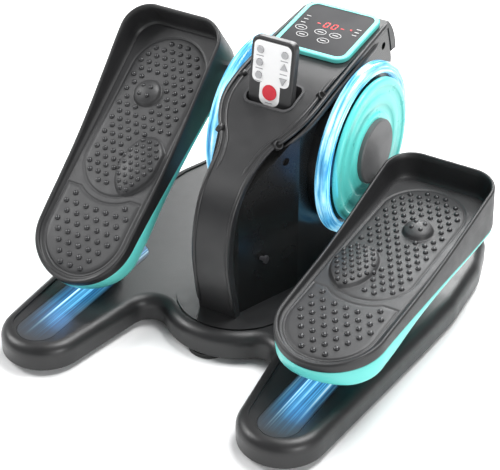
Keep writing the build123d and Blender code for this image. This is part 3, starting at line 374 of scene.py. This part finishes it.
def curve(points):
    """A smooth function through (place, height) points."""
    xs = np.array([p[0] for p in points], float)
    ys = np.array([p[1] for p in points], float)
    slopes = np.gradient(ys, xs)

    def value(x):
        x = np.clip(np.asarray(x, float), xs[0], xs[-1])
        i = np.clip(np.searchsorted(xs, x) - 1, 0, len(xs) - 2)
        h = xs[i + 1] - xs[i]
        t = (x - xs[i]) / h
        return ((1 + 2 * t) * (1 - t) ** 2 * ys[i] + t * (1 - t) ** 2 * h * slopes[i]
                + t * t * (3 - 2 * t) * ys[i + 1] + t * t * (t - 1) * h * slopes[i + 1])

    return value


def step(x, low, high):
    """Smooth rise from 0 at low to 1 at high."""
    t = np.clip((np.asarray(x, float) - low) / (high - low), 0, 1)
    return t * t * (3 - 2 * t)


# --------------------------------------------------------------------------------- pedals
# u runs from heel to toe, v outward, w up from the foot pad (mm).
RIM = curve([(-40, -6), (-14, -4), (15, 2), (50, 5), (100, 7), (140, 9), (185, 14),
             (235, 22), (285, 30), (322, 33), (350, 33)])
SPLIT = curve([(-40, -14), (60, -11), (120, -13), (180, -16), (240, -20), (350, -22)])
UNDER = curve([(-40, -26), (-14, -31), (12, -40), (64, -40), (120, -31), (180, -27),
               (240, -28), (350, -31)])
PAD = curve([(-40, -9), (-14, -7), (15, -3), (45, -0.5), (80, 0), (350, 0)])
PEDAL_X, HEEL_U, HEEL_R = 162.0, 47.0, 61.0
TOE_U, TOE_V, TOE_R = 288.0, 32.5, 34.0
AXLE_U, AXLE_W, PIN_U, PIN_W = 38.0, -54.0, 290.0, -16.0
THROW, LEAN, ROLLER_R = 62.0, radians(11.4), 16.0
DECK_Z = TRACK_HIGH[2] / MM


def pedal_matrix(side):
    """Places (u, v, w) in mm into the frame in metres, for a pedal at rest."""
    pin_y = CRANK.y / MM + side * THROW * sin(LEAN)
    pin_z = CRANK.z / MM - side * THROW * cos(LEAN)
    link = hypot(PIN_U - AXLE_U, PIN_W - AXLE_W)
    slope = asin((pin_z - DECK_Z - ROLLER_R) / link)
    tilt = slope - atan2(PIN_W - AXLE_W, PIN_U - AXLE_U)
    axle_y = pin_y - link * cos(slope)
    heel = Vector((side * PEDAL_X, axle_y - AXLE_U * cos(tilt) + AXLE_W * sin(tilt),
                   DECK_Z + ROLLER_R - AXLE_U * sin(tilt) - AXLE_W * cos(tilt)))
    matrix = Matrix(((0, side, 0, heel.x), (cos(tilt), 0, -sin(tilt), heel.y),
                     (sin(tilt), 0, cos(tilt), heel.z), (0, 0, 0, 1)))
    return Matrix.Scale(MM, 4) @ matrix


def placed(side, points):
    """Pedal points (n, 3) in mm as frame points in metres."""
    matrix = np.array(pedal_matrix(side))
    points = np.asarray(points, float)
    return points @ matrix[:3, :3].T + matrix[:3, 3]


# Direction square to the straight flank between the heel's round and the toe's corner.
FLANK_TURN = pi / 2 - (asin((HEEL_R - TOE_R) / hypot(TOE_U - HEEL_U, TOE_V))
                       - atan2(TOE_V, TOE_U - HEEL_U))


def sole_outline():
    """Points and outward normals of the pedal's outline on its outer half, heel to toe."""
    rows = []
    for t in np.linspace(pi, FLANK_TURN, 40):
        rows.append((HEEL_U + HEEL_R * cos(t), HEEL_R * sin(t), cos(t), sin(t)))
    start = rows[-1]
    end = (TOE_U + TOE_R * cos(FLANK_TURN), TOE_V + TOE_R * sin(FLANK_TURN))
    for t in np.linspace(0, 1, 62)[1:-1]:
        rows.append((start[0] + t * (end[0] - start[0]), start[1] + t * (end[1] - start[1]),
                     cos(FLANK_TURN), sin(FLANK_TURN)))
    for t in np.linspace(FLANK_TURN, 0, 26):
        rows.append((TOE_U + TOE_R * cos(t), TOE_V + TOE_R * sin(t), cos(t), sin(t)))
    for t in np.linspace(1, 0, 9)[1:]:
        rows.append((TOE_U + TOE_R, TOE_V * t, 1.0, 0.0))
    return np.array(rows)


OUTLINE = sole_outline()


def sole_shell(name, side, profile, look, body, node):
    """A closed shell lofted round the pedal's outline.  profile gives each ring's distance
    in from the outline and its height, a function of u."""
    half = len(OUTLINE)
    rings = []
    for inset, height in profile:
        u = OUTLINE[:, 0] - inset * OUTLINE[:, 2]
        v = np.maximum(OUTLINE[:, 1] - inset * OUTLINE[:, 3], 0.0)
        v[0] = v[-1] = 0.0
        w = height(u)
        outer = np.stack([u, v, w], axis=1)
        inner = outer[1:-1][::-1] * (1, -1, 1)
        rings.append(np.concatenate([outer, inner]))
    count = 2 * half - 2
    faces = ring_faces(len(rings), count)
    for r in (0, len(rings) - 1):
        first = r * count
        mirror = [first + (count - i) % count for i in range(half)]
        for i in range(half - 1):
            quad = [first + i, first + i + 1, mirror[i + 1], mirror[i]]
            unique = list(dict.fromkeys(quad))
            if len(unique) > 2:
                faces.append(tuple(unique))
    made = piece(name, placed(side, np.concatenate(rings)), faces, look, body)
    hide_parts(node)


def between(low, high, share):
    """The line that lies a share of the way from low to high."""
    return lambda u: low(u) + (high(u) - low(u)) * share


def above(line, rise):
    """The line raised by rise."""
    return lambda u: line(u) + rise


# Rings of the tray's shell, from its lower edge up over the rim and down to the pad.
TRAY_PROFILE = [
    (6.0, above(SPLIT, -0.4)), (1.4, above(SPLIT, -0.3)), (0.5, above(SPLIT, 0.3)),
    (0.1, above(SPLIT, 1.4)), (0.0, above(SPLIT, 3.0)), (0.0, between(SPLIT, RIM, 0.5)),
    (0.0, above(RIM, -3.0)), (0.25, above(RIM, -1.6)), (1.0, above(RIM, -0.6)),
    (2.1, above(RIM, -0.1)), (3.2, above(RIM, -0.3)), (4.2, above(RIM, -1.1)),
    (4.7, between(PAD, RIM, 0.75)), (5.1, between(PAD, RIM, 0.5)),
    (5.6, between(PAD, RIM, 0.26)), (6.4, between(PAD, RIM, 0.10)),
    (7.6, between(PAD, RIM, 0.03)), (9.8, above(PAD, -1.0)), (12.0, above(PAD, -2.4)),
]


def pan_floor(u):
    """The pan's underside, hollowed where the roller stands."""
    return UNDER(u) + 3.5 * step(u, 6, 16) * (1 - step(u, 62, 74))


# Rings of the pan's shell, from the tray's lower edge down to its underside.
PAN_PROFILE = [
    (9.0, above(SPLIT, -0.6)), (1.0, above(SPLIT, -0.6)), (0.7, above(SPLIT, -1.2)),
    (0.9, between(SPLIT, UNDER, 0.35)), (1.5, between(SPLIT, UNDER, 0.6)),
    (3.2, between(SPLIT, UNDER, 0.8)), (7.0, between(SPLIT, UNDER, 0.93)),
    (14.0, UNDER), (20.0, UNDER), (24.0, pan_floor), (30.0, pan_floor),
]

PAD_INSET = 8.0
BIG_LOW, BIG_HIGH, BIG_HALF, BIG_V = 94.0, 302.0, 48.0, -2.0      # the long studded zone
HEEL_ZONE_END, HEEL_ZONE_INSET, ZONE_GAP = 96.0, 11.5, 9.0
GROOVE_DEPTH, GROOVE_WIDTH = 1.1, 0.95
# The mounds under the ball of the foot and under its arch: u, v, radius along u and v, rise.
DOME = (225.0, 8.0, 17.5, 17.5, 9.2)
ARCH = (137.0, -27.0, 40.0, 28.0, 8.5)


def half_width(u, inset):
    """Half the pedal's width at u, with its outline drawn in."""
    heel, toe = HEEL_R - inset, TOE_R - inset
    u0, v0 = HEEL_U + heel * cos(FLANK_TURN), heel * sin(FLANK_TURN)
    u1, v1 = TOE_U + toe * cos(FLANK_TURN), TOE_V + toe * sin(FLANK_TURN)
    u = np.asarray(u, float)
    round_heel = np.sqrt(np.maximum(heel ** 2 - (u - HEEL_U) ** 2, 0))
    straight = v0 + (v1 - v0) * (u - u0) / (u1 - u0)
    round_toe = TOE_V + np.sqrt(np.maximum(toe ** 2 - (u - TOE_U) ** 2, 0))
    return np.where(u < u0, round_heel, np.where(u < u1, straight, round_toe))


def big_zone(u, v):
    """Signed distance into the long studded zone, a rounded slot."""
    centre_u = np.clip(u, BIG_LOW + BIG_HALF, BIG_HIGH - BIG_HALF)
    return BIG_HALF - np.hypot(u - centre_u, v - BIG_V)


def heel_zone(u, v):
    """Signed distance into the studded heel zone, under the long zone's round end."""
    heel = (HEEL_R - HEEL_ZONE_INSET) - np.hypot(np.minimum(u - HEEL_U, 0), v)
    ahead = np.hypot(u - (BIG_LOW + BIG_HALF), v - BIG_V) - (BIG_HALF + ZONE_GAP)
    return np.minimum(np.minimum(heel, ahead), HEEL_ZONE_END - u)


def mound(u, v, u0, v0, ru, rv, rise):
    """Height of a rounded mound at (u0, v0) with radii ru and rv."""
    r = np.sqrt(((u - u0) / ru) ** 2 + ((v - v0) / rv) ** 2)
    return rise * np.sqrt(np.maximum(1 - np.minimum(r, 1) ** 2, 0)) * step(-r, -1.0, -0.9)


def pad_height(u, v):
    """The pad's surface: a slight crown, grooves round its zones, and two raised mounds."""
    w = PAD(u)
    big, heel = big_zone(u, v), heel_zone(u, v)
    w = w + 0.5 * step(big, 0, 5) + 0.5 * step(heel, 0, 5)
    for distance in (big, heel):
        w = w - GROOVE_DEPTH * np.exp(-(distance / GROOVE_WIDTH) ** 2)
    w = w + mound(u, v, *DOME)
    return w + mound(u, v, *ARCH) * step(big, -1.0, 2.0)


def foot_pad(side, hand):
    """The pad as one closed sheet with its zones formed into the top."""
    rows, columns = 360, 124
    low, high = HEEL_U - HEEL_R + PAD_INSET, TOE_U + TOE_R - PAD_INSET
    t = np.linspace(0, 1, rows)
    t = t - 0.018 * np.sin(2 * pi * t)          # rows lie closer at both ends
    u = low + (high - low) * t
    u[0] += 0.02
    half = np.maximum(half_width(u, PAD_INSET), 0.4)
    s = np.linspace(-1, 1, columns)
    grid_u = np.repeat(u[:, None], columns, axis=1)
    grid_v = half[:, None] * s[None, :]
    w = pad_height(grid_u, grid_v)
    border = np.minimum(half[:, None] - np.abs(grid_v),
                        np.minimum(grid_u - low, high - grid_u))
    w = w - 1.3 * (1 - step(border, 0.0, 3.0))
    top = np.stack([grid_u, grid_v, w], axis=2).reshape(-1, 3)
    bottom = top.copy()
    bottom[:, 2] = PAD(bottom[:, 0]) - 2.6
    points = np.concatenate([top, bottom])
    faces = []
    offset = rows * columns
    for i in range(rows - 1):
        for j in range(columns - 1):
            a = i * columns + j
            faces.append((a, a + 1, a + columns + 1, a + columns))
            faces.append((offset + a, offset + a + columns, offset + a + columns + 1,
                          offset + a + 1))
    edge_loop = (list(range(columns))
                 + [i * columns + columns - 1 for i in range(1, rows)]
                 + [(rows - 1) * columns + j for j in range(columns - 2, -1, -1)]
                 + [i * columns for i in range(rows - 2, 0, -1)])
    for a, b in zip(edge_loop, edge_loop[1:] + edge_loop[:1]):
        faces.append((b, a, offset + a, offset + b))
    made = piece(f"studded_pad_{hand}", placed(side, points), faces, pad_look, f"pedal_{hand}")
    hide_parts(f"foot_pad_{hand}")


def staggered(u0, v0, pitch, squash, rows, columns):
    """Places in rows that are squashed together, every other row shifted half a pitch."""
    for row in rows:
        for column in columns:
            yield u0 + row * pitch * squash, v0 + (column + 0.5 * (row % 2)) * pitch


def stud_places():
    """(u, v, radius) of every stud: the long zone's, the two mounds' and the heel's."""
    places = []
    dome_u, dome_v, dome_r = DOME[:3]
    arch_u, arch_v, arch_ru, arch_rv = ARCH[:4]
    for u, v in staggered(BIG_LOW + 5, BIG_V, 11.2, 0.86, range(40), range(-9, 10)):
        near_arch = hypot((u - arch_u) / (arch_ru + 3), (v - arch_v) / (arch_rv + 3)) < 1
        near_dome = hypot(u - dome_u, v - dome_v) < dome_r + 3.6
        if big_zone(u, v) >= 5.5 and not near_arch and not near_dome:
            places.append((u, v, 3.0))
    for k in range(4):
        turn = pi / 4 + k * pi / 2
        places.append((dome_u + 7.5 * cos(turn), dome_v + 7.5 * sin(turn), 2.4))
    for u, v in staggered(arch_u, arch_v, 8.8, 0.87, range(-6, 7), range(-6, 7)):
        on_arch = hypot((u - arch_u) / (arch_ru - 1.5), (v - arch_v) / (arch_rv - 1)) <= 1
        if on_arch and big_zone(u, v) >= 4.0:
            places.append((u, v, 2.6))
    for u, v in staggered(6, 0, 13.6, 0.84, range(-3, 8), range(-4, 5)):
        if heel_zone(u, v) >= 5.2:
            places.append((u, v, 3.2))
    return places


def studs(side, hand):
    """Every stud of a pad, as round-topped buttons sunk into its surface."""
    verts, faces = [], []
    around, levels = 12, 4
    for u0, v0, radius in stud_places():
        base = float(pad_height(u0, v0))
        first = len(verts)
        for k in range(levels):
            lift = k / levels * pi / 2
            ring = radius * (1.12 if k == 0 else cos(lift))
            for i in range(around):
                a = 2 * pi * i / around
                verts.append((u0 + ring * cos(a), v0 + ring * sin(a),
                              base + (-0.5 if k == 0 else 0.78 * radius * sin(lift) + 0.15)))
        verts.append((u0, v0, base + 0.78 * radius + 0.15))
        faces += ring_faces(levels, around, first)
        last = first + (levels - 1) * around
        for i in range(around):
            faces.append((last + i, last + (i + 1) % around, len(verts) - 1))
        faces.append(tuple(range(first, first + around))[::-1])
    piece(f"pad_studs_{hand}", placed(side, verts), faces, stud_look, f"pedal_{hand}")


for side, hand in SIDES:
    sole_shell(f"tray_shell_{hand}", side, TRAY_PROFILE, tray_look, f"pedal_{hand}",
               f"pedal_tray_{hand}")
    sole_shell(f"pan_shell_{hand}", side, PAN_PROFILE, pan_look, f"pedal_{hand}",
               f"pedal_pan_{hand}")
    foot_pad(side, hand)
    studs(side, hand)


# ------------------------------------------------------------------------------ crank discs
def lathe(name, side, profile, look, body, node):
    """A turned piece round the crank's axis from (radius, x) points in mm."""
    around = 128
    verts = []
    for radius, x in profile:
        for i in range(around):
            a = 2 * pi * i / around
            verts.append((side * x * MM, CRANK.y + radius * MM * cos(a),
                          CRANK.z + radius * MM * sin(a)))
    faces = ring_faces(len(profile), around)
    faces += [ring_end(0, around), ring_end(len(profile) - 1, around)]
    made = piece(name, verts, faces, look, body)
    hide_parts(node)


for side, hand in SIDES:
    lathe(f"disc_face_{hand}", side, [
        (30.0, 77.0), (82.0, 77.0), (83.6, 77.6), (84.0, 79.0), (83.8, 81.6), (82.6, 83.4),
        (80.5, 84.0), (76.5, 84.0), (75.6, 83.7), (75.0, 82.8), (74.2, 82.4), (66.0, 82.2),
        (65.2, 82.6), (64.6, 83.0), (54.0, 83.0), (53.2, 82.6), (52.6, 82.0), (46.0, 81.8),
        (45.0, 82.4), (44.2, 83.4), (43.2, 84.0), (38.0, 84.0), (30.0, 84.0),
    ], disc_look, "crank", f"crank_disc_{hand}")

# ---------------------------------------------------------------------------- strap ridges
STRAP_LINE = [(-77, 36), (-86, 80), (-90, 118), (-87, 145), (-78, 172), (-62, 193),
              (-30, 214.5), (23, 247), (62, 259.5), (100, 267), (212, 284)]
STRAP_HALF = curve([(36, 23.5), (186, 23.5), (202, 24.5), (214, 27.5), (224, 33), (232, 42),
                    (241, 50), (300, 50)])


def strap_path(depth, count=150):
    """(y, z) along the strap at depth inside its outer surface, with the surface's normal."""
    lengths = [0.0]
    for (y0, z0), (y1, z1) in zip(STRAP_LINE, STRAP_LINE[1:]):
        lengths.append(lengths[-1] + hypot(y1 - y0, z1 - z0))
    y_at = curve(list(zip(lengths, [p[0] for p in STRAP_LINE])))
    z_at = curve(list(zip(lengths, [p[1] for p in STRAP_LINE])))
    s = np.linspace(0, lengths[-1], count)
    y, z = y_at(s), z_at(s)
    dy, dz = np.gradient(y), np.gradient(z)
    run = np.hypot(dy, dz)
    normal = np.stack([-dz / run, dy / run], axis=1)
    return np.stack([y, z], axis=1) - normal * depth, normal


def ridge(name, side, depth, inset, width, rise, start, stop):
    """A rounded bead along the strap's edge, between two rows of its path."""
    path, normal = strap_path(depth)
    surface, _ = strap_path(0)
    verts = []
    around = 10
    rows = range(start, stop)
    for row in rows:
        y, z = path[row]
        half = float(STRAP_HALF(surface[row][1]))
        taper = min(1.0, (row - start + 1) / 4, (stop - row) / 4)
        for i in range(around):
            a = 2 * pi * i / around
            across = (half - inset + width / 2 * cos(a) * taper) * side
            lift = rise * sin(a) * taper
            verts.append((across * MM, (y + normal[row][0] * lift) * MM,
                          (z + normal[row][1] * lift) * MM))
    faces = ring_faces(len(rows), around)
    faces += [ring_end(0, around), ring_end(len(rows) - 1, around)]
    piece(name, verts, faces, case_look, "machine")


for side, hand in SIDES:
    ridge(f"strap_edge_{hand}", side, 0.8, 1.6, 5.2, 2.4, 2, 149)
    ridge(f"strap_bead_{hand}", side, 0.9, 9.0, 4.4, 2.2, 58, 112)
    ridge(f"casing_bead_{hand}", side, 11.0, 0.4, 5.0, 4.0, 74, 140)


# -------------------------------------------------------------------------- screw recesses
def recess(name, place, aim, radius):
    """A round collar with a dark hollow inside it, aimed along a normal (mm). The hollow is
    shallow, and its near-black colour is painted shade that stands for a deep screw hole.
    """
    turn = Vector(aim).to_track_quat("Z", "Y").to_matrix()
    around = 32
    for part, look, profile in (
        ("collar", case_look, ((radius, -5.0), (radius + 1.6, -5.0), (radius + 1.4, 0.2),
                               (radius + 0.8, 0.7), (radius + 0.1, 0.5), (radius - 0.2, -0.4))),
        ("hollow", hole_shade_look, ((0.01, -5.0), (radius, -5.0), (radius, -0.1), (0.8 * radius, -0.25),
                               (0.4 * radius, -0.35), (0.01, -0.35))),
    ):
        verts = []
        for r, z in profile:
            for i in range(around):
                a = 2 * pi * i / around
                point = turn @ Vector((r * cos(a), r * sin(a), z)) + Vector(place)
                verts.append(point * MM)
        closed = part == "collar"
        faces = ring_faces(len(profile), around, closed=closed)
        if not closed:
            faces += [ring_end(0, around), ring_end(len(profile) - 1, around)]
        piece(f"{name}_{part}", verts, faces, look, "machine")


for side, hand in SIDES:
    recess(f"upper_recess_{hand}", (side * 51.2, 58, 259.6), (side * 0.8, -0.1, 1.0), 3.8)
    recess(f"lower_recess_{hand}", (side * 37.8, -11.2, 228.2), (side * 0.9, -0.35, 0.8), 3.8)

# --------------------------------------------------------------------------- display marks
SCREEN_LOW, SCREEN_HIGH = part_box("display_screen")
(low_y, low_z), (high_y, high_z) = STRAP_LINE[-2:]
SCREEN_SLOPE = atan2(high_z - low_z, high_y - low_y)
ALONG = Vector((0, cos(SCREEN_SLOPE), sin(SCREEN_SLOPE)))
OUT = Vector((0, -sin(SCREEN_SLOPE), cos(SCREEN_SLOPE)))
SCREEN_MIDDLE = Vector((0, (SCREEN_LOW[1] + SCREEN_HIGH[1]) / 2,
                        (SCREEN_LOW[2] + SCREEN_HIGH[2]) / 2)) + OUT * 0.001


PRINT_THICK = 0.00025
RIGHT = Vector((1, 0, 0))


def flat(name, outlines, look, body, origin, up):
    """Thin printed shapes on a face: outlines of (x, y) points in mm, each one closed."""
    out = RIGHT.cross(up)
    verts, faces = [], []
    for loop in outlines:
        first, count = len(verts), len(loop)
        for level in (-0.2, 1.0):
            for x, y in loop:
                verts.append(origin + RIGHT * x * MM + up * y * MM + out * PRINT_THICK * level)
        faces.append(tuple(first + i for i in range(count))[::-1])
        faces.append(tuple(first + count + i for i in range(count)))
        for i in range(count):
            j = (i + 1) % count
            faces.append((first + i, first + j, first + count + j, first + count + i))
    piece(name, verts, faces, look, body, smooth=False)


def bar(x, y, width, height):
    """A four-sided bar about (x, y)."""
    w, h = width / 2, height / 2
    return [(x - w, y - h), (x + w, y - h), (x + w, y + h), (x - w, y + h)]


def oval_ring(x, y, width, height, line):
    """A ring drawn as short four-sided tiles."""
    tiles, count = [], 28
    for i in range(count):
        a, b = 2 * pi * i / count, 2 * pi * (i + 1) / count
        tiles.append([
            (x + width / 2 * cos(a), y + height / 2 * sin(a)),
            (x + width / 2 * cos(b), y + height / 2 * sin(b)),
            (x + (width / 2 - line) * cos(b), y + (height / 2 - line) * sin(b)),
            (x + (width / 2 - line) * cos(a), y + (height / 2 - line) * sin(a)),
        ])
    return tiles


def digit(x, y, width, height, lit):
    """Seven-segment digit from the letters of its lit segments."""
    t, lean = 1.0, 0.12
    spots = {
        "a": (x, y + height / 2, width - t, t), "g": (x, y, width - t, t),
        "d": (x, y - height / 2, width - t, t),
        "b": (x + width / 2, y + height / 4, t, height / 2 - t),
        "c": (x + width / 2, y - height / 4, t, height / 2 - t),
        "f": (x - width / 2, y + height / 4, t, height / 2 - t),
        "e": (x - width / 2, y - height / 4, t, height / 2 - t),
    }
    return [bar(sx + lean * (sy - y), sy, w, h) for key, (sx, sy, w, h) in spots.items()
            if key in lit]


digits = []
for x, lit_segments in ((-15, "g"), (-5, "abcdef"), (5, "abcdef"), (15, "g")):
    digits += digit(x, 8, 5.0, 9, lit_segments)
flat("display_digits", digits, digit_look, "machine", SCREEN_MIDDLE, ALONG)
flat("display_lamp", [bar(25, 10, 2.0, 2.0)], digit_look, "machine", SCREEN_MIDDLE, ALONG)
touch_keys, labels = [], []
for x, y in ((-30, -7), (-22, -19), (-5, -7), (14, -7), (6, -21)):
    touch_keys += oval_ring(x, y, 14.5, 9.5, 0.55)
    labels.append(bar(x, y, 7.0, 0.9))
for x, y in ((-33, 17), (-33, 10), (-33, 3), (33, 14), (33, 8), (33, 2)):
    labels.append(bar(x, y, 5.5, 0.8))
flat("display_keys", touch_keys, line_look, "machine", SCREEN_MIDDLE, ALONG)
flat("display_labels", labels, line_look, "machine", SCREEN_MIDDLE, ALONG)

# ---------------------------------------------------------------------------- remote marks
REMOTE_LEAN = radians(8)
REMOTE_FACE = 0.006        # from the remote's middle plane out to its face
REMOTE_UP = Vector((0, sin(REMOTE_LEAN), cos(REMOTE_LEAN)))
REMOTE_OUT = Vector((0, -cos(REMOTE_LEAN), sin(REMOTE_LEAN)))
REMOTE_FOOT = Vector((0, 0.033, 0.223)) + REMOTE_OUT * REMOTE_FACE
remote_labels = []
for x, y in ((-15, 75.6), (-15, 61.1), (-15, 46.6), (15, 75.6), (15, 60.8), (0, 24.6)):
    remote_labels.append(bar(x, y, 9.0, 1.0))
flat("remote_labels", remote_labels, mark_look, "remote", REMOTE_FOOT, REMOTE_UP)

# ---------------------------------------------------------------------------------- floor
FLOOR_HALF, FLOOR_DROP = 6, 0.0002
corners = [(x * FLOOR_HALF, y * FLOOR_HALF, 0) for x, y in ((-1, -1), (1, -1), (1, 1), (-1, 1))]
floor_mesh = bpy.data.meshes.new("floor")
floor_mesh.from_pydata(corners, [], [(0, 1, 2, 3)])
floor = bpy.data.objects.new("floor", floor_mesh)
bpy.context.collection.objects.link(floor)
floor_look = Look("floor_pale", (0.90, 0.90, 0.90), rough=0.7).tint(2, 0.01)
floor_mesh.materials.append(floor_look.material)
floor.location.z = -FLOOR_DROP
